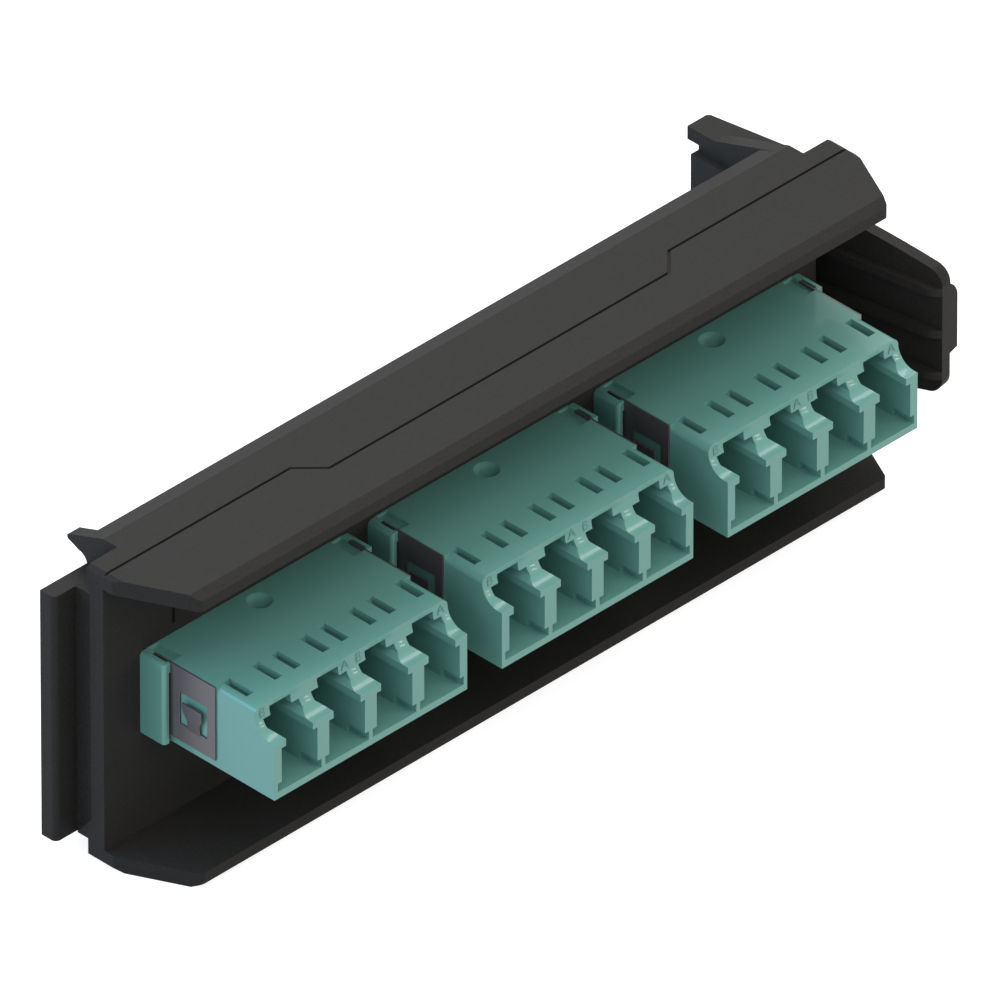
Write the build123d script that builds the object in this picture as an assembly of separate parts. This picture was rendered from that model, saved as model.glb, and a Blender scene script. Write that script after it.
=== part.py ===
"""Fibre adapter plate: a moulded plate that carries three four-port adapters and a springy latch lever.

Millimetres, +Z up. X runs along the plate, the ports face -Y, and the plate stands on its bottom flange.
The origin lies in the underside of the bottom flange, below the wall's front, at half the plate's length.
"""
from build123d import *
import math
import os

# Plate: wall and flanges
PLATE_HEIGHT = 33.45
PLATE_LEFT_MARGIN = 5.87
PLATE_RIGHT_MARGIN = 7.43
WALL = 1.75
FLANGE = 1.75
FLANGE_REACH = 9.13
FLANGE_BACK = 2.18
FRONT_BEVEL_RUN = 1.06
FRONT_BEVEL_DROP = 0.52
END_BEVEL_RUN = 0.5
END_BEVEL_DROP = 0.37
CORNER_CUT_START = 1.16
CORNER_CUT_INSET = 3.87
FRONT_CORNER_RADIUS = 0.6
SIDE_CORNER_RADIUS = 0.8
WALL_RIGHT_GAP = 4.2

# Plate: shelf behind each flange and the gussets at its ends
SHELF_LEFT_INSET = 4.05
SHELF_RIGHT_INSET = 3.75
SHELF_FLAT = 4.02
SHELF_REACH = 6.29
SHELF_EDGE = 0.91
GUSSET = 1.5
GUSSET_DEPTH = 6.0
GUSSET_NOSE = 8.5
GUSSET_NOSE_DROP = 1.66
GUSSET_NOSE_RADIUS = 0.36
GUSSET_HOOK_Y = 7.3
GUSSET_HOOK_DROP = 2.9

# Plate: line cut into the top, with a forward jog
GROOVE_WIDTH = 0.3
GROOVE_DEPTH = 0.25
GROOVE_Y = -0.15
GROOVE_JOG_Y = -2.7
GROOVE_JOG_RUN = 2.6
GROOVE_JOG_LEFT_INSET = 24.45
GROOVE_JOG_RIGHT_INSET = 24.05

# Plate: rear rail on the left, which hooks behind an enclosure's frame
RAIL_OVERHANG = 2.1
RAIL_FRONT = 4.35
RAIL_THICKNESS = 1.9
RAIL_TOP_GAP = 3.85
RAIL_CORNER_RADIUS = 0.6
RAIL_WEB_INSET = 0.71
RAIL_WEB = 1.7
RAIL_FOOT = 1.55
FOOT_RIB_LOW = 2.1
FOOT_RIB_RUN = 1.9
FOOT_RIB_RISE = 2.35

# Plate: spring arm and guard bars on the right
ARM_INSET = 6.05
ARM = 1.5
ARM_END = 14.85
ARM_TOP_GAP = 5.2
GUARD_SLOPE_END = 12.5
GUARD_END = 16.1
GUARD_DROP = 2.95
GUARD_THICKNESS = 1.5
GUARD_INSET = 2.45
GUARD_CORNER_RADIUS = 0.5
ROOF_FRONT = 5.6
ARM_WEB_INSET = 0.8
ARM_WEB_END = 14.6

# Latch lever
HINGE_INSET = 3.35
HINGE_Y = 13.4
ROOT_RADIUS = 1.45
ROOT_CLEARANCE = 0.06
ROOT_END_GAP = 0.2
LEVER_SLANT = 9.5
LEVER_THICKNESS = 1.3
LEVER_OUTER = 1.87
LEVER_LENGTH = 25.15
LEVER_ROOT_HALF_HEIGHT = 9.55
LEVER_MIDDLE = 16.66
LEVER_MIDDLE_HALF_HEIGHT = 8.35
LEVER_FRONT_HALF_HEIGHT = 6.8
LEVER_CORNER_RADIUS = 1.8
RIB_PITCH = 4.8
RIB_THICKNESS = 0.9
RIB_HEIGHT = 0.8
RIB_NOSE = 1.7
RIB_LENGTH = 20.7
PAD_HEIGHT = 1.2
PAD_LENGTH = 7.5
PAD_BASE_TOP = 5.1
PAD_FLAT_TOP = 3.4
PAD_FLAT_BOTTOM = -2.75
PAD_BASE_BOTTOM = -2.9
CATCH_FRAME_GAP = 2.6
CATCH_HEIGHT = 1.2
CATCH_LENGTH = 4.2
CATCH_WIDTH = 6.0

# Adapters: body
ADAPTER_COUNT = 3
ADAPTER_GAP = 2.42
ADAPTER_BOTTOM = 13.0
ADAPTER_SIDE_MARGIN = 0.2
ADAPTER_HEIGHT = 9.15
ADAPTER_HALF_LENGTH = 15.1
NOSE_LENGTH = 7.6
NOSE_TOP_RADIUS = 0.8
CUTOUT_CLEARANCE = 0.1

# Adapters: ears that stop against the wall's front
EAR_LENGTH = 3.2
EAR_REACH = 1.09
EAR_RADIUS = 0.4
EAR_TOP_RADIUS = 0.45
EAR_SLOT = 0.45
EAR_WEB_START = 2.3
EAR_WEB_HEIGHT = 3.2
EAR_RETURN = 0.35
EAR_RETURN_HEIGHT = 1.1
TOP_RECESS_WIDTH = 1.4
TOP_RECESS_LENGTH = 3.0
TOP_RECESS_DEPTH = 0.35
DIMPLE_DIAMETER = 2.6
DIMPLE_SLOPE = 32.0
DIMPLE_RING = 0.55
DIMPLE_Y = -0.37

# Adapters: ports
PORTS = 4
PORT_PITCH = 6.25
FLOOR = 0.75
PORT_WIDTH = 4.7
PORT_HEIGHT = 4.8
WING_WIDTH = 3.55
WING_HEIGHT = 0.8
NECK_BOTTOM = 6.9
BLOCK_BOTTOM = 7.65
LATCH_WIDTH = 2.75
SKIN = 0.56
LATCH_DEPTH = 8.1
FOOT_NOTCH_WIDTH = 5.75
FOOT_NOTCH_HEIGHT = 0.95
FOOT_NOTCH_DEPTH = 2.4
LUG_POCKET_FRONT = 4.63
LUG_POCKET_LENGTH = 3.2
SLOT_WIDTH = 0.95
FACE_STEP = 2.6
FACE_FLAT = 0.5
LIP_DROP = 2.8

# Adapters: inner wall, sleeve bosses and sleeves
INNER_WALL = 2.4
SLEEVE_LENGTH = 6.8
SLEEVE_OUTER = 1.62
SLEEVE_INNER = 1.25
SLEEVE_SLIT = 0.2
SLEEVE_CLEARANCE = 0.05
SLEEVE_END_PLAY = 0.05
BOSS_DIAMETER = 2.9
BOSS_LIP = 0.4
FERRULE_HOLE = 1.4

# Adapters: sheet-metal clip
SHEET = 0.2
CLIP_HALF_LENGTH = 7.45
CLIP_FOOT_GAP = 0.8
STRAP_WIDTH = 2.8
STRAP_RECESS = 0.22
CLIP_GAP = 0.05
WINDOW_START = 1.15
WINDOW_LENGTH = 3.63
WINDOW_TOP_GAP = 2.8
WINDOW_HEIGHT = 3.6
TONGUE_GAP = 0.05
TONGUE_WIDTH = 2.55
TONGUE_NECK = 1.65
TONGUE_HEIGHT = 2.93
TONGUE_FLARE = 7.8

# Worked out from the sizes above
ADAPTER_WIDTH = PORTS * PORT_PITCH + 2 * ADAPTER_SIDE_MARGIN
ADAPTER_HALF_WIDTH = ADAPTER_WIDTH / 2
ADAPTER_PITCH = ADAPTER_WIDTH + 2 * EAR_REACH + ADAPTER_GAP
ADAPTER_SPAN = (ADAPTER_COUNT - 1) * ADAPTER_PITCH
PLATE_LENGTH = ADAPTER_SPAN + ADAPTER_WIDTH + PLATE_LEFT_MARGIN + PLATE_RIGHT_MARGIN
HALF_LENGTH = PLATE_LENGTH / 2
ADAPTER_FIRST_X = PLATE_LEFT_MARGIN + ADAPTER_HALF_WIDTH - HALF_LENGTH
MID_HEIGHT = PLATE_HEIGHT / 2
WALL_RIGHT = HALF_LENGTH - WALL_RIGHT_GAP
SHELF_LEFT = SHELF_LEFT_INSET - HALF_LENGTH
SHELF_RIGHT = HALF_LENGTH - SHELF_RIGHT_INSET
SHELF_DROP = FLANGE - SHELF_EDGE
RAIL_BACK = RAIL_FRONT + RAIL_THICKNESS
RAIL_TOP = PLATE_HEIGHT - RAIL_TOP_GAP
ARM_LEFT = HALF_LENGTH - ARM_INSET
ARM_RIGHT = ARM_LEFT + ARM
ARM_HALF_HEIGHT = MID_HEIGHT - ARM_TOP_GAP
HINGE_X = HALF_LENGTH - HINGE_INSET
ADAPTER_TOP = ADAPTER_BOTTOM + ADAPTER_HEIGHT
EAR_MIDDLE_Y = -EAR_LENGTH / 2
EAR_HALF = EAR_LENGTH / 2
SEAT_END = SLEEVE_LENGTH / 2 + SLEEVE_END_PLAY
BOSS_END = SEAT_END + BOSS_LIP
SEAT_RADIUS = SLEEVE_OUTER / 2 + SLEEVE_CLEARANCE
PORT_AXIS_Z = ADAPTER_BOTTOM + FLOOR + PORT_HEIGHT / 2
EAR_WEB_FRONT = EAR_WEB_START - EAR_HALF
EAR_WEB_LOW = ADAPTER_TOP - EAR_WEB_HEIGHT
MARGIN = 1.0

# Bosses, bores and sleeves are repeated so often that each circle is drawn with few sides.
ROUND_SIDES = 12


def block(x0, x1, y0, y1, z0, z1):
    """A box between two opposite corners."""
    middle = Pos((x0 + x1) / 2, (y0 + y1) / 2, (z0 + z1) / 2)
    return middle * Box(x1 - x0, y1 - y0, z1 - z0)


def raise_face(face, z0, z1):
    """A flat (x, y) face, raised from z0 to z1."""
    return extrude(Plane.XY.offset(z0) * face, z1 - z0, dir=(0, 0, 1))


def draw_along_x(face, x0, x1):
    """A flat (y, z) face, drawn out from x0 to x1."""
    return extrude(Plane.YZ.offset(x0) * face, x1 - x0, dir=(1, 0, 0))


def draw_along_y(face, y0, y1):
    """A flat (x, z) face, drawn out from y0 to y1."""
    return extrude(Plane.XZ.offset(-y0) * face, y1 - y0, dir=(0, 1, 0))


def plan_prism(points, z0, z1):
    """An outline of (x, y) points, raised from z0 to z1."""
    return raise_face(Polygon(*points, align=None), z0, z1)


def side_prism(points, x0, x1):
    """An outline of (y, z) points, drawn out from x0 to x1."""
    return draw_along_x(Polygon(*points, align=None), x0, x1)


def front_prism(points, y0, y1):
    """An outline of (x, z) points, drawn out from y0 to y1."""
    return draw_along_y(Polygon(*points, align=None), y0, y1)


def round_peg(radius, x, y0, y1):
    """A small round bar along Y on a port's axis, no wider than its radius."""
    outline = RegularPolygon(radius, ROUND_SIDES)
    return draw_along_y(Pos(x, PORT_AXIS_Z) * outline, y0, y1)


def round_bore(radius, x, y0, y1):
    """What a small round bore cuts away, no narrower than its radius."""
    outline = RegularPolygon(radius, ROUND_SIDES, major_radius=False)
    return draw_along_y(Pos(x, PORT_AXIS_Z) * outline, y0, y1)


def with_mirror(shape):
    """The shape and its mirror image across the plate's middle height."""
    return shape + mirror(shape, Plane.XY.offset(MID_HEIGHT))


def port_offsets():
    """Distance of each port's middle from its adapter's middle."""
    first = -(PORTS - 1) * PORT_PITCH / 2
    return [first + PORT_PITCH * index for index in range(PORTS)]


def adapter_places():
    """Middle of each adapter along the plate."""
    return [ADAPTER_FIRST_X + ADAPTER_PITCH * index for index in range(ADAPTER_COUNT)]


# Plate

def flange():
    """Top flange: cut front corners, a bevelled front edge and bevelled ends."""
    corner_x = HALF_LENGTH - CORNER_CUT_INSET
    outline = Polygon(
        (-HALF_LENGTH, FLANGE_BACK),
        (-HALF_LENGTH, -CORNER_CUT_START),
        (-corner_x, -FLANGE_REACH),
        (corner_x, -FLANGE_REACH),
        (HALF_LENGTH, -CORNER_CUT_START),
        (HALF_LENGTH, FLANGE_BACK),
        align=None,
    )
    corners = outline.vertices().group_by(Axis.Y)
    outline = fillet(corners[0], FRONT_CORNER_RADIUS)
    corners = [v for v in outline.vertices() if abs(v.Y + CORNER_CUT_START) < 0.01]
    outline = fillet(corners, SIDE_CORNER_RADIUS)
    low = PLATE_HEIGHT - FLANGE
    slab = raise_face(outline, low, PLATE_HEIGHT)
    across = side_prism(
        [
            (FLANGE_BACK, low),
            (-FLANGE_REACH, low),
            (-FLANGE_REACH, PLATE_HEIGHT - FRONT_BEVEL_DROP),
            (-FLANGE_REACH + FRONT_BEVEL_RUN, PLATE_HEIGHT),
            (FLANGE_BACK, PLATE_HEIGHT),
        ],
        -HALF_LENGTH,
        HALF_LENGTH,
    )
    along = front_prism(
        [
            (-HALF_LENGTH, low),
            (HALF_LENGTH, low),
            (HALF_LENGTH, PLATE_HEIGHT - END_BEVEL_DROP),
            (HALF_LENGTH - END_BEVEL_RUN, PLATE_HEIGHT),
            (END_BEVEL_RUN - HALF_LENGTH, PLATE_HEIGHT),
            (-HALF_LENGTH, PLATE_HEIGHT - END_BEVEL_DROP),
        ],
        -FLANGE_REACH,
        FLANGE_BACK,
    )
    return slab & across & along


def shelf():
    """Sloping shelf along the back of the top flange."""
    low = PLATE_HEIGHT - FLANGE
    outline = [
        (0, low),
        (SHELF_REACH, low),
        (SHELF_REACH, PLATE_HEIGHT - SHELF_DROP),
        (SHELF_FLAT, PLATE_HEIGHT),
        (0, PLATE_HEIGHT),
    ]
    return side_prism(outline, SHELF_LEFT, SHELF_RIGHT)


def left_gusset():
    """Hook-shaped gusset from the shelf's left end down to the rail."""
    nose = (GUSSET_NOSE, PLATE_HEIGHT - GUSSET_NOSE_DROP)
    nose_tip = (GUSSET_NOSE + GUSSET_NOSE_RADIUS, nose[1] - GUSSET_NOSE_RADIUS)
    nose_end = (GUSSET_NOSE, nose[1] - 2 * GUSSET_NOSE_RADIUS)
    hook = (GUSSET_HOOK_Y, PLATE_HEIGHT - GUSSET_HOOK_DROP)
    foot = (RAIL_BACK, RAIL_TOP)
    bend = ((hook[0] + 2 * foot[0]) / 3, (2 * hook[1] + foot[1]) / 3)
    low = PLATE_HEIGHT - GUSSET_DEPTH
    outline = [
        Line((WALL, PLATE_HEIGHT), (SHELF_FLAT, PLATE_HEIGHT)),
        Line((SHELF_FLAT, PLATE_HEIGHT), nose),
        ThreePointArc(nose, nose_tip, nose_end),
        Line(nose_end, hook),
        ThreePointArc(hook, bend, foot),
        Line(foot, (RAIL_BACK, low)),
        Line((RAIL_BACK, low), (WALL, low)),
        Line((WALL, low), (WALL, PLATE_HEIGHT)),
    ]
    return draw_along_x(make_face(outline), SHELF_LEFT, SHELF_LEFT + GUSSET)


def rail():
    """Upright rail behind the left end, the web that joins it to the wall and a small rib at its foot."""
    left = -HALF_LENGTH - RAIL_OVERHANG
    right = SHELF_LEFT + GUSSET
    corners = [(left, RAIL_FRONT), (right, RAIL_FRONT), (right, RAIL_BACK), (left, RAIL_BACK)]
    outline = Polygon(*corners, align=None)
    front_left = outline.vertices().sort_by(Axis.Y)[:2].sort_by(Axis.X)[0]
    outline = fillet(front_left, RAIL_CORNER_RADIUS)
    post = raise_face(outline, RAIL_FOOT, RAIL_TOP)
    web_left = RAIL_WEB_INSET - HALF_LENGTH
    web = block(web_left, web_left + RAIL_WEB, WALL, RAIL_FRONT, RAIL_FOOT, RAIL_TOP)
    rib = side_prism(
        [
            (WALL, FLANGE),
            (FLANGE_BACK, FLANGE),
            (FLANGE_BACK, FOOT_RIB_LOW),
            (WALL + FOOT_RIB_RUN, FOOT_RIB_LOW),
            (WALL, FOOT_RIB_LOW + FOOT_RIB_RISE),
        ],
        -HALF_LENGTH,
        web_left,
    )
    return post + web + rib


def guard():
    """Sloping side bar behind the shelf's right end, with the flat roof that covers the lever's root."""
    top = PLATE_HEIGHT
    end_top = top - GUARD_DROP
    low = end_top - GUARD_THICKNESS
    bar = side_prism(
        [
            (WALL, low),
            (GUARD_END, low),
            (GUARD_END, end_top),
            (GUARD_SLOPE_END, end_top),
            (SHELF_FLAT, top),
            (WALL, top),
        ],
        SHELF_RIGHT - GUSSET,
        SHELF_RIGHT,
    )
    corner_x = HALF_LENGTH - GUARD_INSET
    flare = (GUARD_END - ROOF_FRONT) * math.tan(math.radians(LEVER_SLANT))
    inner = SHELF_RIGHT - GUSSET / 2
    outline = Polygon(
        (inner, GUARD_END),
        (inner, ROOF_FRONT),
        (corner_x + flare, ROOF_FRONT),
        (corner_x, GUARD_END),
        align=None,
    )
    back_right = outline.vertices().sort_by(Axis.Y)[2:].sort_by(Axis.X)[-1]
    roof = raise_face(fillet(back_right, GUARD_CORNER_RADIUS), low, end_top)
    return bar + roof


def spring_arm():
    """Upright arm that reaches back from the wall and ends in a hollow seat for the lever's round root.

    A thin web above and below it joins it to the guards.
    """
    low = MID_HEIGHT - ARM_HALF_HEIGHT
    high = MID_HEIGHT + ARM_HALF_HEIGHT
    arm = block(ARM_LEFT, ARM_RIGHT, WALL, ARM_END, low, high)
    seat = Pos(HINGE_X, HINGE_Y, MID_HEIGHT) * Cylinder(ROOT_RADIUS + ROOT_CLEARANCE, high - low + 2 * MARGIN)
    guard_low = PLATE_HEIGHT - GUARD_DROP - GUARD_THICKNESS
    web = block(ARM_LEFT + ARM_WEB_INSET, ARM_RIGHT, WALL, ARM_WEB_END, high, guard_low)
    return arm - seat + with_mirror(web)


def groove():
    """Shallow line along the top of the flange, with a forward jog between two slants."""
    half = GROOVE_WIDTH / 2
    jog_start = GROOVE_JOG_LEFT_INSET - HALF_LENGTH
    jog_end = HALF_LENGTH - GROOVE_JOG_RIGHT_INSET
    line = [
        (-HALF_LENGTH - MARGIN, GROOVE_Y),
        (jog_start, GROOVE_Y),
        (jog_start + GROOVE_JOG_RUN, GROOVE_JOG_Y),
        (jog_end - GROOVE_JOG_RUN, GROOVE_JOG_Y),
        (jog_end, GROOVE_Y),
        (HALF_LENGTH + MARGIN, GROOVE_Y),
    ]
    # A mitred corner moves sideways by this much where the line turns through the jog's angle.
    turn = math.atan2(GROOVE_Y - GROOVE_JOG_Y, GROOVE_JOG_RUN)
    shift = half * math.tan(turn / 2)
    sides = [0, -shift, -shift, shift, shift, 0]
    back_edge = [(x - side, y + half) for (x, y), side in zip(line, sides)]
    front_edge = [(x + side, y - half) for (x, y), side in zip(line, sides)]
    outline = back_edge + front_edge[::-1]
    return plan_prism(outline, PLATE_HEIGHT - GROOVE_DEPTH, PLATE_HEIGHT + MARGIN)


def plate():
    wall = block(-HALF_LENGTH, WALL_RIGHT, 0, WALL, FLANGE, PLATE_HEIGHT - FLANGE)
    body = wall + with_mirror(flange() + shelf() + guard()) + rail() + left_gusset() + spring_arm()
    half_width = ADAPTER_HALF_WIDTH + SHEET + CUTOUT_CLEARANCE
    for x in adapter_places():
        body -= block(
            x - half_width,
            x + half_width,
            -MARGIN,
            WALL + MARGIN,
            ADAPTER_BOTTOM - CUTOUT_CLEARANCE,
            ADAPTER_TOP + CUTOUT_CLEARANCE,
        )
    return body - groove()


# Latch lever, drawn straight along -Y from its hinge and then turned outwards

def lever_blade():
    """Blade that narrows in a long arc to round front corners, and the round root that it turns on."""
    front = -LEVER_LENGTH
    profile = (
        (0, LEVER_ROOT_HALF_HEIGHT),
        (-LEVER_MIDDLE, LEVER_MIDDLE_HALF_HEIGHT),
        (front, LEVER_FRONT_HALF_HEIGHT),
    )
    upper = [(y, MID_HEIGHT + half) for y, half in profile]
    lower = [(y, MID_HEIGHT - half) for y, half in profile]
    outline = make_face(
        [
            ThreePointArc(*upper),
            Line(upper[-1], lower[-1]),
            ThreePointArc(*lower[::-1]),
            Line(lower[0], upper[0]),
        ]
    )
    outline = fillet(outline.vertices().group_by(Axis.X)[0], LEVER_CORNER_RADIUS)
    inner = LEVER_OUTER - LEVER_THICKNESS
    blade = draw_along_x(outline, inner, LEVER_OUTER)
    root = Pos(0, 0, MID_HEIGHT) * Cylinder(ROOT_RADIUS, 2 * (ARM_HALF_HEIGHT - ROOT_END_GAP))
    return blade + root


def lever_ribs():
    """Three ribs along the blade's inner face, each with a rounded front end."""
    inner = LEVER_OUTER - LEVER_THICKNESS
    crest = inner - RIB_HEIGHT
    front = -LEVER_LENGTH
    back = front + RIB_LENGTH
    nose_radius = (RIB_NOSE**2 + RIB_HEIGHT**2) / (2 * RIB_HEIGHT)
    outline = make_face(
        [
            Line((inner, front), (inner, back)),
            Line((inner, back), (crest, back - RIB_HEIGHT)),
            Line((crest, back - RIB_HEIGHT), (crest, front + RIB_NOSE)),
            RadiusArc((crest, front + RIB_NOSE), (inner, front), -nose_radius),
        ]
    )
    ribs = []
    for step in (-1, 0, 1):
        low = MID_HEIGHT + step * RIB_PITCH - RIB_THICKNESS / 2
        ribs.append(raise_face(outline, low, low + RIB_THICKNESS))
    return ribs


def lever_pad():
    """Grip pad on the outer face: a round top and a bevelled bottom."""
    base = LEVER_OUTER - LEVER_THICKNESS / 2
    face = LEVER_OUTER + PAD_HEIGHT
    top = MID_HEIGHT + PAD_BASE_TOP
    flat_top = MID_HEIGHT + PAD_FLAT_TOP
    flat_bottom = MID_HEIGHT + PAD_FLAT_BOTTOM
    bottom = MID_HEIGHT + PAD_BASE_BOTTOM
    bulge = (LEVER_OUTER + 0.75 * PAD_HEIGHT, (top + 2 * flat_top) / 3 + 0.2 * PAD_HEIGHT)
    outline = [
        Line((base, bottom), (LEVER_OUTER, bottom)),
        Line((LEVER_OUTER, bottom), (face, flat_bottom)),
        Line((face, flat_bottom), (face, flat_top)),
        ThreePointArc((face, flat_top), bulge, (LEVER_OUTER, top)),
        Line((LEVER_OUTER, top), (base, top)),
        Line((base, top), (base, bottom)),
    ]
    front = -LEVER_LENGTH
    return draw_along_y(make_face(outline), front, front + PAD_LENGTH)


def lever_catch():
    """Wedge on the outer face: its flat front stops behind the frame that the plate snaps into."""
    base = LEVER_OUTER - LEVER_THICKNESS / 2
    front = (WALL + CATCH_FRAME_GAP - HINGE_Y) / math.cos(math.radians(LEVER_SLANT))
    outline = [
        (base, front),
        (LEVER_OUTER + CATCH_HEIGHT, front),
        (LEVER_OUTER, front + CATCH_LENGTH),
        (base, front + CATCH_LENGTH),
    ]
    return plan_prism(outline, MID_HEIGHT - CATCH_WIDTH / 2, MID_HEIGHT + CATCH_WIDTH / 2)


def latch_lever():
    body = lever_blade() + lever_pad() + lever_catch()
    for rib in lever_ribs():
        body += rib
    return Pos(HINGE_X, HINGE_Y, 0) * Rot(0, 0, LEVER_SLANT) * body


# Adapter halves, drawn with the ports facing -Y and the ears' middle at Y = 0

def port_cavity(x):
    """Everything cut away for one port: plug hole, latch channel, foot notch, lug pocket and top slots."""
    front = -ADAPTER_HALF_LENGTH - MARGIN
    low = ADAPTER_BOTTOM + FLOOR
    shelf_z = low + PORT_HEIGHT
    wing_z = shelf_z + WING_HEIGHT
    neck_z = ADAPTER_BOTTOM + NECK_BOTTOM
    block_z = ADAPTER_BOTTOM + BLOCK_BOTTOM
    skin_z = ADAPTER_TOP - SKIN
    half = PORT_WIDTH / 2
    half_wing = WING_WIDTH / 2
    half_latch = LATCH_WIDTH / 2
    right_side = [
        (half, low),
        (half, shelf_z),
        (half_wing, shelf_z),
        (half_wing, wing_z),
        (half, neck_z),
        (half, block_z),
        (half_latch, block_z),
        (half_latch, skin_z),
    ]
    left_side = [(-u, z) for u, z in reversed(right_side)]
    outline = [(x + u, z) for u, z in right_side + left_side]
    cavity = front_prism(outline, front, LATCH_DEPTH - ADAPTER_HALF_LENGTH)
    cavity += block(x - half, x + half, front, -INNER_WALL, low, shelf_z)
    half_foot = FOOT_NOTCH_WIDTH / 2
    foot_end = FOOT_NOTCH_DEPTH - ADAPTER_HALF_LENGTH
    cavity += block(x - half_foot, x + half_foot, front, foot_end, low, low + FOOT_NOTCH_HEIGHT)
    pocket_front = LUG_POCKET_FRONT - ADAPTER_HALF_LENGTH
    pocket_back = pocket_front + LUG_POCKET_LENGTH
    cavity += block(x - half, x + half, pocket_front, pocket_back, neck_z, skin_z)
    half_slot = SLOT_WIDTH / 2
    for middle in (x - half + half_slot, x + half - half_slot):
        cavity += block(
            middle - half_slot,
            middle + half_slot,
            pocket_front,
            pocket_back,
            skin_z - SKIN / 2,
            ADAPTER_TOP + MARGIN,
        )
    return cavity


def face_cut():
    """What is cut from the top of the port face: a step back, down a hollow quarter round to the lip."""
    front = -ADAPTER_HALF_LENGTH
    lip_z = ADAPTER_TOP - LIP_DROP
    radius = FACE_STEP - FACE_FLAT
    step_y = front + FACE_STEP
    flat_y = front + FACE_FLAT
    top = ADAPTER_TOP + MARGIN
    outline = [
        Line((front - MARGIN, lip_z), (flat_y, lip_z)),
        CenterArc((flat_y, lip_z + radius), radius, -90, 90),
        Line((step_y, lip_z + radius), (step_y, top)),
        Line((step_y, top), (front - MARGIN, top)),
        Line((front - MARGIN, top), (front - MARGIN, lip_z)),
    ]
    reach = ADAPTER_HALF_WIDTH + MARGIN
    return draw_along_x(make_face(outline), -reach, reach)


def half_shell(seam):
    """Outer form of one half, solid, from its port face to the seam."""
    front = -ADAPTER_HALF_LENGTH
    nose_back = front + NOSE_LENGTH
    nose_section = Pos(0, ADAPTER_BOTTOM + ADAPTER_HEIGHT / 2) * Rectangle(ADAPTER_WIDTH, ADAPTER_HEIGHT)
    nose_section = fillet(nose_section.vertices().group_by(Axis.Y)[-1], NOSE_TOP_RADIUS)
    nose = draw_along_y(nose_section, front, nose_back)
    waist = block(-ADAPTER_HALF_WIDTH, ADAPTER_HALF_WIDTH, nose_back, seam, ADAPTER_BOTTOM, ADAPTER_TOP)
    return nose + waist - face_cut()


def half_housing(seam):
    """One housing half with its ports, inner wall, sleeve bosses and sleeve seats."""
    body = half_shell(seam)
    for x in port_offsets():
        body -= port_cavity(x)
    for x in port_offsets():
        body += round_peg(BOSS_DIAMETER / 2, x, -BOSS_END, -INNER_WALL)
    for x in port_offsets():
        body -= round_bore(SEAT_RADIUS, x, -SEAT_END, seam)
        body -= round_bore(FERRULE_HOLE / 2, x, -BOSS_END, -SEAT_END)
    return body


def ear():
    """Right-hand ear: a short wall beside the body, joined by a web at its back over a slot for the clip."""
    inner = ADAPTER_HALF_WIDTH + EAR_SLOT
    outer = ADAPTER_HALF_WIDTH + EAR_REACH
    corners = [(inner, -EAR_HALF), (outer, -EAR_HALF), (outer, EAR_HALF), (inner, EAR_HALF)]
    outline = Polygon(*corners, align=None)
    outer_corners = outline.vertices().group_by(Axis.X)[-1]
    outline = fillet(outer_corners.sort_by(Axis.Y)[0], EAR_RADIUS)
    wall = raise_face(outline, ADAPTER_BOTTOM, ADAPTER_TOP)
    low = ADAPTER_BOTTOM
    side = Polygon((inner, low), (outer, low), (outer, ADAPTER_TOP), (inner, ADAPTER_TOP), align=None)
    top_corner = side.vertices().group_by(Axis.Y)[-1].sort_by(Axis.X)[-1]
    wall &= draw_along_y(fillet(top_corner, EAR_TOP_RADIUS), -EAR_HALF, EAR_HALF)
    web = block(ADAPTER_HALF_WIDTH, inner, EAR_WEB_FRONT, EAR_HALF, EAR_WEB_LOW, ADAPTER_TOP)
    clip_side_x = ADAPTER_HALF_WIDTH + SHEET + CLIP_GAP
    return_low = ADAPTER_TOP - EAR_RETURN_HEIGHT
    front_return = block(clip_side_x, inner, -EAR_HALF, EAR_RETURN - EAR_HALF, return_low, ADAPTER_TOP)
    return wall + web + front_return


def dimple():
    """What is cut for the shallow dimple in the top: a sloping ring and a flatter cone inside it."""
    radius = DIMPLE_DIAMETER / 2
    inner = radius - DIMPLE_RING
    drop = DIMPLE_RING * math.tan(math.radians(DIMPLE_SLOPE))
    last_drop = inner * math.tan(math.radians(DIMPLE_SLOPE / 3))
    ring = Pos(0, 0, -drop / 2) * Cone(inner, radius, drop)
    centre = Pos(0, 0, -drop - last_drop / 2) * Cone(0, inner, last_drop)
    return Pos(0, DIMPLE_Y, ADAPTER_TOP) * (ring + centre)


def front_housing():
    right_ear = ear()
    body = half_housing(EAR_HALF) + right_ear + mirror(right_ear, Plane.YZ)
    for side in (-1, 1):
        edge = side * ADAPTER_HALF_WIDTH
        inner = edge - side * TOP_RECESS_WIDTH
        body -= block(
            min(edge, inner),
            max(edge, inner),
            -TOP_RECESS_LENGTH / 2,
            TOP_RECESS_LENGTH / 2,
            ADAPTER_TOP - TOP_RECESS_DEPTH,
            ADAPTER_TOP + MARGIN,
        )
    half_strap = STRAP_WIDTH / 2 + CLIP_GAP
    body -= block(
        -ADAPTER_HALF_WIDTH,
        ADAPTER_HALF_WIDTH,
        -half_strap,
        half_strap,
        ADAPTER_BOTTOM - MARGIN,
        ADAPTER_BOTTOM + STRAP_RECESS,
    )
    return body - dimple()


def rear_housing():
    return mirror(half_housing(-EAR_HALF), Plane.XZ)


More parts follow.
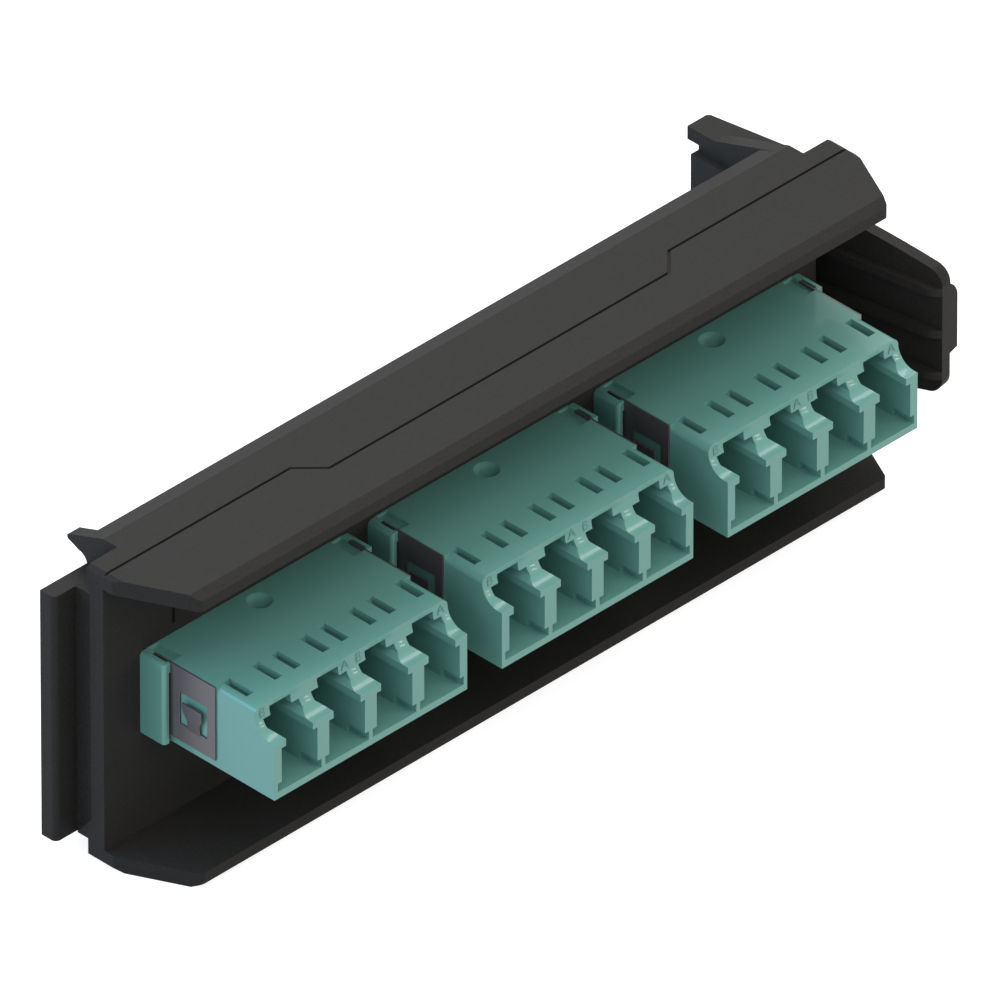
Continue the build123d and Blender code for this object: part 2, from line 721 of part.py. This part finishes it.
def clip_tongue(direction):
    """Tongue lifted out of a window, hinged at its lower end; direction is -1 in front and 1 behind."""
    near = EAR_HALF + WALL + TONGUE_GAP
    far = near + TONGUE_WIDTH
    middle = (near + far) / 2
    foot_z = ADAPTER_TOP - WINDOW_TOP_GAP - WINDOW_HEIGHT
    root_z = foot_z - SHEET
    half_neck = TONGUE_NECK / 2
    outline = [
        (direction * (middle - half_neck), root_z),
        (direction * (middle + half_neck), root_z),
        (direction * (middle + half_neck), foot_z + TONGUE_HEIGHT / 3),
        (direction * far, foot_z + 2 * TONGUE_HEIGHT / 3),
        (direction * far, foot_z + TONGUE_HEIGHT),
        (direction * near, foot_z + TONGUE_HEIGHT),
        (direction * near, foot_z + 2 * TONGUE_HEIGHT / 3),
        (direction * (middle - half_neck), foot_z + TONGUE_HEIGHT / 3),
    ]
    tongue = side_prism(outline, 0, SHEET)
    upright = Pos(0, 0, -root_z) * tongue
    return Pos(ADAPTER_HALF_WIDTH, 0, root_z) * Rot(0, TONGUE_FLARE, 0) * upright


def clip_side():
    """Right-hand side of the clip: a leaf notched for the ear's web, with a window and tongue at each end."""
    inner = ADAPTER_HALF_WIDTH
    outer = inner + SHEET
    low = ADAPTER_BOTTOM + CLIP_FOOT_GAP
    leaf = block(inner, outer, -CLIP_HALF_LENGTH, CLIP_HALF_LENGTH, low, ADAPTER_TOP)
    notch_front = EAR_WEB_FRONT - CLIP_GAP
    leaf -= block(inner, outer, notch_front, EAR_HALF + CLIP_GAP, EAR_WEB_LOW - CLIP_GAP, ADAPTER_TOP)
    window_top = ADAPTER_TOP - WINDOW_TOP_GAP
    window_low = window_top - WINDOW_HEIGHT
    for direction in (-1, 1):
        near = direction * (EAR_HALF + WINDOW_START)
        far = direction * (EAR_HALF + WINDOW_START + WINDOW_LENGTH)
        leaf -= block(inner, outer, min(near, far), max(near, far), window_low, window_top)
        leaf += clip_tongue(direction)
    half_strap = STRAP_WIDTH / 2
    strap_low = ADAPTER_BOTTOM + STRAP_RECESS - SHEET
    return leaf + block(inner, outer, -half_strap, half_strap, strap_low, low)


def clip():
    """Spring clip: one folded sheet with two windowed sides and a strap under the body."""
    side = clip_side()
    half_strap = STRAP_WIDTH / 2
    outer = ADAPTER_HALF_WIDTH + SHEET
    strap_top = ADAPTER_BOTTOM + STRAP_RECESS
    strap = block(-outer, outer, -half_strap, half_strap, strap_top - SHEET, strap_top)
    return side + mirror(side, Plane.YZ) + strap


def sleeve(x):
    """Split sleeve, a slit tube that lines up the two ferrules of one connection."""
    half_length = SLEEVE_LENGTH / 2
    half_slit = SLEEVE_SLIT / 2
    tube = round_peg(SLEEVE_OUTER / 2, x, -half_length, half_length)
    tube -= round_bore(SLEEVE_INNER / 2, x, -half_length, half_length)
    top = PORT_AXIS_Z + SLEEVE_OUTER
    return tube - block(x - half_slit, x + half_slit, -half_length, half_length, PORT_AXIS_Z, top)


def adapter_parts():
    """The pieces of one adapter by name, with the adapter's middle at X = 0."""
    parts = {"front_housing": front_housing(), "rear_housing": rear_housing(), "clip": clip()}
    for number, x in enumerate(port_offsets(), 1):
        parts[f"sleeve_{number}"] = sleeve(x)
    return parts


def build():
    nodes = {"plate": plate(), "latch_lever": latch_lever()}
    parts = adapter_parts()
    for number, x in enumerate(adapter_places(), 1):
        for name, part in parts.items():
            nodes[f"adapter_{number}_{name}"] = Pos(x, EAR_MIDDLE_Y, 0) * part
    return nodes


def write_parts():
    os.makedirs("parts", exist_ok=True)
    for name, shape in build().items():
        export_step(shape, f"parts/{name}.step")


write_parts()
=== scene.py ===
"""Looks of the fibre adapter plate: finishes, rounded edges, numbers and letters, floor, light and camera."""
import math

import bpy
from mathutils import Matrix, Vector


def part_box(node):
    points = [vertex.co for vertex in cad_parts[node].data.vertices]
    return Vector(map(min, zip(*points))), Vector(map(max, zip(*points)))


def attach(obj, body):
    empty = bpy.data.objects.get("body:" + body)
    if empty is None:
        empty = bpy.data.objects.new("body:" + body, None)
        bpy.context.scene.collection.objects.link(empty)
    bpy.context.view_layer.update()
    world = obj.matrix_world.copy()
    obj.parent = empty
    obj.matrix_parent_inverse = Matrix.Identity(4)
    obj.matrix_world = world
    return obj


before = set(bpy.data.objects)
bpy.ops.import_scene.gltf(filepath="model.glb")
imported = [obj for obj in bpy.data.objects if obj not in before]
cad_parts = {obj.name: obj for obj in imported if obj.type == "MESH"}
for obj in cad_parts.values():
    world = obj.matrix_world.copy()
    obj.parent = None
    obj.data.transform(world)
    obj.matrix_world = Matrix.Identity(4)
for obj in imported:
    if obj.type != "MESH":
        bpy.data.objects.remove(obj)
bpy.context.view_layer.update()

MM = 0.001
ADAPTERS = (1, 2, 3)

# Camera: the photograph is a parallel view, taken here with a very long lens
AZIMUTH = math.radians(-45)
ELEVATION = math.radians(35.264)
LENS = 1650
SENSOR = 36
VIEW_WIDTH = 93.96 * MM
LOOK_AT = Vector((2.09 * MM, -0.87 * MM, 16.66 * MM))

# Rounded edges
PLATE_ROUND = 0.16 * MM
LEVER_ROUND = 0.22 * MM
HOUSING_ROUND = 0.1 * MM
CLIP_ROUND = 0.03 * MM
ROUND_SEGMENTS = 3
SHARP_ANGLE = math.radians(32)
FLAT_ANGLE = math.radians(0.6)
WELD_REACH = 0.0005 * MM
CUT_UP_FROM = 5

# Colours, linear
BLACK = (0.0150, 0.0144, 0.0137, 1)
BLACK_WORN = (0.0322, 0.0310, 0.0296, 1)
BLACK_INK = (0.0022, 0.0021, 0.0021, 1)
AQUA = (0.098, 0.262, 0.226, 1)
AQUA_PALE = (0.112, 0.285, 0.248, 1)
AQUA_INK = (0.068, 0.195, 0.170, 1)
STEEL = (0.128, 0.120, 0.132, 1)
STEEL_DARK = (0.100, 0.094, 0.100, 1)
CERAMIC = (0.80, 0.78, 0.72, 1)
CERAMIC_WARM = (0.76, 0.73, 0.66, 1)
FLOOR_PALE = (0.42, 0.42, 0.42, 1)
WORLD_FILL = (0.69, 0.71, 0.72, 1)
WHITE = (1, 1, 1, 1)

# Moulded finishes; speckle is the grain's share in the tone, skin the weight of a smooth clear layer
BLACK_FINISH = {
    "roughness": 0.48,
    "grain_size": 0.28 * MM,
    "grain_depth": 0.03 * MM,
    "shine": 0.04,
    "speckle": 0.9,
}
AQUA_FINISH = {
    "roughness": 0.4,
    "grain_size": 0.25 * MM,
    "grain_depth": 0.002 * MM,
    "shine": 0.3,
    "skin": 0.33,
    "speckle": 0.2,
}
CERAMIC_FINISH = {"roughness": 0.2, "grain_size": 0.1 * MM, "grain_depth": 0.0005 * MM}
NUMBER_FINISH = {"roughness": 0.6, "grain_size": 0.16 * MM, "grain_depth": 0.002 * MM, "shine": 0.0}
LETTER_FINISH = {"roughness": 0.5, "grain_size": 0.25 * MM, "grain_depth": 0.002 * MM}
CLOUD_SCALE = 90
CLOUD_DETAIL = 4
GRAIN_DETAIL = 3
GRAIN_ROUGHNESS = 0.6
NOISE_LOW = 0.3
NOISE_HIGH = 0.7
GLOSS_SPREAD = 0.05
SKIN_ROUGHNESS = 0.07

# Rolled steel: noise drawn out along the sheet's length
STEEL_METALLIC = 0.55
ROLL_SCALE = (9000, 300, 9000)
ROLL_DETAIL = 3
ROLL_STRENGTH = 0.6
ROLL_DEPTH = 0.004 * MM
STEEL_SMOOTH = 0.28
STEEL_ROUGH = 0.42

# Softboxes: place in metres, width, height, level and colour
LAMPS = (
    ("top_light", (-0.1, -0.3, 0.45), 0.4, 0.4, 0.3, (1.0, 0.94, 0.88)),
    ("back_light", (0.22, 0.22, 0.46), 0.45, 0.3, 0.83, (1.0, 0.98, 0.94)),
    ("left_back", (-0.4, 0.35, 0.25), 0.4, 0.35, 0.64, (0.36, 0.62, 1.0)),
    ("left_light", (-0.52, -0.2, 0.28), 0.35, 0.35, 0.18, (0.9, 0.93, 1.0)),
    ("low_strip", (0.346, -0.497, 0.113), 0.13, 0.075, 0.11, (1.0, 0.9, 0.8)),
    ("high_strip", (0.346, -0.431, 0.28), 0.13, 0.075, 0.11, (1.0, 0.9, 0.8)),
)
LAMP_TARGET = Vector((0, 0, 15 * MM))

# Floor
FLOOR_REACH = 3.0
FLOOR_DROP = 0.02 * MM
FLOOR_ROUGHNESS = 0.9
FLOOR_LIFT = 0.8

# Numbers over the ports and polarity letters on the port faces
PORTS = 4
PORT_PITCH = 6.25 * MM
CAPITAL_SHARE = 0.7
NUMBER_HEIGHT = 2.3 * MM
NUMBER_MIDDLE_Z = 24.3 * MM
NUMBER_RELIEF = 0.03 * MM
LETTER_HEIGHT = 1.05 * MM
LETTER_RELIEF = 0.02 * MM
LETTER_DROP = 0.85 * MM
LETTER_INSET = 0.75 * MM
LETTER_OFFSET = 0.9 * MM
FACE_STEP = 2.6 * MM
FACE_LIP_DROP = 2.8 * MM
FACE_RADIUS = 2.1 * MM


def new_material(name):
    """A material with its nodes, its links and its shader."""
    material = bpy.data.materials.new(name)
    material.use_nodes = True
    nodes = material.node_tree.nodes
    return material, nodes, material.node_tree.links, nodes["Principled BSDF"]


def moulded(name, colour, other, roughness, grain_size, grain_depth, shine=0.5, skin=0.0, speckle=0.0):
    """Plastic: two close tones in soft clouds, an uneven gloss, a fine grain and a smoother skin over it."""
    material, nodes, links, shader = new_material(name)
    shader.inputs["Specular IOR Level"].default_value = shine
    shader.inputs["Coat Weight"].default_value = skin
    shader.inputs["Coat Roughness"].default_value = SKIN_ROUGHNESS
    place = nodes.new("ShaderNodeTexCoord")

    clouds = nodes.new("ShaderNodeTexNoise")
    clouds.inputs["Scale"].default_value = CLOUD_SCALE
    clouds.inputs["Detail"].default_value = CLOUD_DETAIL
    links.new(place.outputs["Object"], clouds.inputs["Vector"])
    grain = nodes.new("ShaderNodeTexNoise")
    grain.inputs["Scale"].default_value = 1 / grain_size
    grain.inputs["Detail"].default_value = GRAIN_DETAIL
    grain.inputs["Roughness"].default_value = GRAIN_ROUGHNESS
    links.new(place.outputs["Object"], grain.inputs["Vector"])

    mottle = nodes.new("ShaderNodeMix")
    mottle.inputs["Factor"].default_value = speckle
    links.new(clouds.outputs["Fac"], mottle.inputs["A"])
    links.new(grain.outputs["Fac"], mottle.inputs["B"])
    tones = nodes.new("ShaderNodeMix")
    tones.data_type = "RGBA"
    tones.inputs["A"].default_value = colour
    tones.inputs["B"].default_value = other
    links.new(mottle.outputs["Result"], tones.inputs["Factor"])
    links.new(tones.outputs["Result"], shader.inputs["Base Color"])

    gloss = nodes.new("ShaderNodeMapRange")
    gloss.inputs["From Min"].default_value = NOISE_LOW
    gloss.inputs["From Max"].default_value = NOISE_HIGH
    gloss.inputs["To Min"].default_value = roughness - GLOSS_SPREAD
    gloss.inputs["To Max"].default_value = roughness + GLOSS_SPREAD
    links.new(grain.outputs["Fac"], gloss.inputs["Value"])
    links.new(gloss.outputs["Result"], shader.inputs["Roughness"])
    bump = nodes.new("ShaderNodeBump")
    bump.inputs["Strength"].default_value = 1
    bump.inputs["Distance"].default_value = grain_depth
    links.new(grain.outputs["Fac"], bump.inputs["Height"])
    links.new(bump.outputs["Normal"], shader.inputs["Normal"])
    return material


def rolled_steel():
    """Dull spring sheet: rolled lines along its length and a slightly uneven gloss."""
    material, nodes, links, shader = new_material("rolled_steel")
    shader.inputs["Metallic"].default_value = STEEL_METALLIC
    place = nodes.new("ShaderNodeTexCoord")
    stretch = nodes.new("ShaderNodeMapping")
    stretch.inputs["Scale"].default_value = ROLL_SCALE
    links.new(place.outputs["Object"], stretch.inputs["Vector"])
    lines = nodes.new("ShaderNodeTexNoise")
    lines.inputs["Scale"].default_value = 1
    lines.inputs["Detail"].default_value = ROLL_DETAIL
    links.new(stretch.outputs["Vector"], lines.inputs["Vector"])
    tones = nodes.new("ShaderNodeMix")
    tones.data_type = "RGBA"
    tones.inputs["A"].default_value = STEEL_DARK
    tones.inputs["B"].default_value = STEEL
    links.new(lines.outputs["Fac"], tones.inputs["Factor"])
    links.new(tones.outputs["Result"], shader.inputs["Base Color"])
    gloss = nodes.new("ShaderNodeMapRange")
    gloss.inputs["To Min"].default_value = STEEL_SMOOTH
    gloss.inputs["To Max"].default_value = STEEL_ROUGH
    links.new(lines.outputs["Fac"], gloss.inputs["Value"])
    links.new(gloss.outputs["Result"], shader.inputs["Roughness"])
    bump = nodes.new("ShaderNodeBump")
    bump.inputs["Strength"].default_value = ROLL_STRENGTH
    bump.inputs["Distance"].default_value = ROLL_DEPTH
    links.new(lines.outputs["Fac"], bump.inputs["Height"])
    links.new(bump.outputs["Normal"], shader.inputs["Normal"])
    return material


def clothe(node, material):
    """Gives a CAD node one material on all its slots."""
    slots = node.material_slots
    if not slots:
        node.data.materials.append(material)
    for slot in slots:
        slot.link = "OBJECT"
        slot.material = material


def round_edges(node, width):
    """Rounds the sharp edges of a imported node, after its flat faces are merged and cut into plain facets."""
    weld = node.modifiers.new("weld", "WELD")
    weld.merge_threshold = WELD_REACH
    flats = node.modifiers.new("merge_flats", "DECIMATE")
    flats.decimate_type = "DISSOLVE"
    flats.angle_limit = FLAT_ANGLE
    facets = node.modifiers.new("facets", "TRIANGULATE")
    facets.ngon_method = "BEAUTY"
    facets.min_vertices = CUT_UP_FROM
    bevel = node.modifiers.new("round", "BEVEL")
    bevel.width = width
    bevel.segments = ROUND_SEGMENTS
    bevel.limit_method = "ANGLE"
    bevel.angle_limit = SHARP_ANGLE
    bevel.use_clamp_overlap = True
    bevel.miter_outer = "MITER_ARC"
    bevel.harden_normals = False
    normals = node.modifiers.new("smooth_rounds", "WEIGHTED_NORMAL")
    normals.keep_sharp = True


def written(name, text, height, material, extrude):
    """A raised text as a mesh, its middle at the origin, read along +X with +Y up."""
    curve = bpy.data.curves.new(name, "FONT")
    curve.body = text
    curve.align_x = "CENTER"
    curve.align_y = "CENTER"
    curve.size = height / CAPITAL_SHARE
    curve.extrude = extrude
    holder = bpy.data.objects.new(name + "_curve", curve)
    bpy.context.scene.collection.objects.link(holder)
    mesh = bpy.data.meshes.new_from_object(holder)
    bpy.data.objects.remove(holder)
    mesh.name = name
    mesh.materials.clear()
    mesh.materials.append(material)
    piece = bpy.data.objects.new(name, mesh)
    bpy.context.scene.collection.objects.link(piece)
    return piece


def adapter_middle(number):
    low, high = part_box(f"adapter_{number}_rear_housing")
    return (low.x + high.x) / 2


def port_numbers(material):
    """Numbers 1 to 12 on the wall's front, one over each port."""
    for adapter in ADAPTERS:
        first = adapter_middle(adapter) - (PORTS - 1) * PORT_PITCH / 2
        for port in range(PORTS):
            number = (adapter - 1) * PORTS + port + 1
            piece = written(f"port_number_{number}", str(number), NUMBER_HEIGHT, material, NUMBER_RELIEF)
            for vertex in piece.data.vertices:
                x, y, z = vertex.co
                vertex.co = (x + first + port * PORT_PITCH, -z, y + NUMBER_MIDDLE_Z)
            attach(piece, "adapter_plate")


def face_depth(drop):
    """How far the port face lies behind its front edge, at this depth below the adapter's top."""
    arc_top = FACE_LIP_DROP - FACE_RADIUS
    if drop <= arc_top:
        return FACE_STEP
    below = min(drop - arc_top, FACE_RADIUS)
    return FACE_STEP - FACE_RADIUS + math.sqrt(FACE_RADIUS**2 - below**2)


def polarity_letters(material):
    """Letters on the blocks between the ports, bent onto the port face."""
    row_end = PORTS * PORT_PITCH / 2 - LETTER_INSET
    letters = (("B", -row_end), ("A", -LETTER_OFFSET), ("B", LETTER_OFFSET), ("A", row_end))
    for adapter in ADAPTERS:
        middle = adapter_middle(adapter)
        low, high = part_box(f"adapter_{adapter}_front_housing")
        for index, (text, offset) in enumerate(letters):
            piece = written(f"polarity_{adapter}_{index + 1}", text, LETTER_HEIGHT, material, LETTER_RELIEF)
            for vertex in piece.data.vertices:
                x, y, z = vertex.co
                drop = LETTER_DROP - y
                vertex.co = (middle + offset + x, low.y + face_depth(drop) - z, high.z - drop)
            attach(piece, "adapter_plate")


def dress_nodes():
    """Finishes and rounded edges for the CAD nodes, then the numbers and letters."""
    black = moulded("black_plastic", BLACK, BLACK_WORN, **BLACK_FINISH)
    aqua = moulded("aqua_plastic", AQUA, AQUA_PALE, **AQUA_FINISH)
    steel = rolled_steel()
    ceramic = moulded("sleeve_ceramic", CERAMIC, CERAMIC_WARM, **CERAMIC_FINISH)
    for name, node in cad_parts.items():
        if name == "plate":
            clothe(node, black)
            round_edges(node, PLATE_ROUND)
        elif name == "latch_lever":
            clothe(node, black)
            round_edges(node, LEVER_ROUND)
        elif "housing" in name:
            clothe(node, aqua)
            round_edges(node, HOUSING_ROUND)
        elif "clip" in name:
            clothe(node, steel)
            round_edges(node, CLIP_ROUND)
        else:
            clothe(node, ceramic)
    port_numbers(moulded("number_plastic", BLACK_INK, BLACK, **NUMBER_FINISH))
    polarity_letters(moulded("letter_plastic", AQUA_INK, AQUA_INK, **LETTER_FINISH))


def seen_rays(nodes, links):
    """1 for the rays that show a background: straight to the camera, in a reflection or through glass."""
    path = nodes.new("ShaderNodeLightPath")
    seen = path.outputs["Is Camera Ray"]
    for kind in ("Is Glossy Ray", "Is Transmission Ray"):
        either = nodes.new("ShaderNodeMath")
        either.operation = "MAXIMUM"
        links.new(seen, either.inputs[0])
        links.new(path.outputs[kind], either.inputs[1])
        seen = either.outputs[0]
    return seen


def make_floor():
    """Pale floor that looks white wherever it is seen and still takes the object's shadow."""
    mesh = bpy.data.meshes.new("floor")
    corners = [
        (-FLOOR_REACH, -FLOOR_REACH, 0),
        (FLOOR_REACH, -FLOOR_REACH, 0),
        (FLOOR_REACH, FLOOR_REACH, 0),
        (-FLOOR_REACH, FLOOR_REACH, 0),
    ]
    mesh.from_pydata(corners, [], [(0, 1, 2, 3)])
    floor = bpy.data.objects.new("floor", mesh)
    bpy.context.scene.collection.objects.link(floor)
    floor.location.z = -FLOOR_DROP
    material, nodes, links, shader = new_material("floor_paper")
    shader.inputs["Base Color"].default_value = FLOOR_PALE
    shader.inputs["Roughness"].default_value = FLOOR_ROUGHNESS
    shader.inputs["Specular IOR Level"].default_value = 0
    lift = nodes.new("ShaderNodeMath")
    lift.operation = "MULTIPLY"
    lift.inputs[1].default_value = FLOOR_LIFT
    links.new(seen_rays(nodes, links), lift.inputs[0])
    shader.inputs["Emission Color"].default_value = WHITE
    links.new(lift.outputs[0], shader.inputs["Emission Strength"])
    mesh.materials.append(material)


def make_world():
    """Even fill light, and white wherever the world itself is seen."""
    world = bpy.data.worlds.new("studio")
    bpy.context.scene.world = world
    world.use_nodes = True
    nodes = world.node_tree.nodes
    links = world.node_tree.links
    background = nodes["Background"]
    background.inputs["Color"].default_value = WORLD_FILL
    white = nodes.new("ShaderNodeBackground")
    white.inputs["Color"].default_value = WHITE
    mix = nodes.new("ShaderNodeMixShader")
    links.new(seen_rays(nodes, links), mix.inputs["Fac"])
    links.new(background.outputs["Background"], mix.inputs[1])
    links.new(white.outputs["Background"], mix.inputs[2])
    links.new(mix.outputs["Shader"], nodes["World Output"].inputs["Surface"])


def softbox(name, place, width, height, level, colour):
    """A lamp aimed at the object; level 1 lights a facing surface to about its own colour."""
    lamp = bpy.data.lights.new(name, "AREA")
    lamp.shape = "RECTANGLE"
    lamp.size = width
    lamp.size_y = height
    away = Vector(place) - LAMP_TARGET
    lamp.energy = level * math.pi**2 * away.length_squared
    lamp.color = colour
    box = bpy.data.objects.new(name, lamp)
    box.location = place
    box.rotation_mode = "QUATERNION"
    box.rotation_quaternion = away.to_track_quat("Z", "Y")
    bpy.context.scene.collection.objects.link(box)


def make_camera():
    """A camera at the photograph's angle."""
    camera = bpy.data.cameras.new("camera")
    camera.lens = LENS
    camera.sensor_width = SENSOR
    holder = bpy.data.objects.new("camera", camera)
    back = Vector(
        (
            math.sin(AZIMUTH) * math.cos(ELEVATION),
            -math.cos(AZIMUTH) * math.cos(ELEVATION),
            math.sin(ELEVATION),
        )
    )
    holder.location = LOOK_AT + back * (VIEW_WIDTH * LENS / SENSOR)
    holder.rotation_mode = "QUATERNION"
    holder.rotation_quaternion = (-back).to_track_quat("-Z", "Y")
    bpy.context.scene.collection.objects.link(holder)
    bpy.context.scene.camera = holder


make_camera()
dress_nodes()
make_floor()
make_world()
for lamp_row in LAMPS:
    softbox(*lamp_row)
bpy.context.scene.view_settings.view_transform = "Standard"
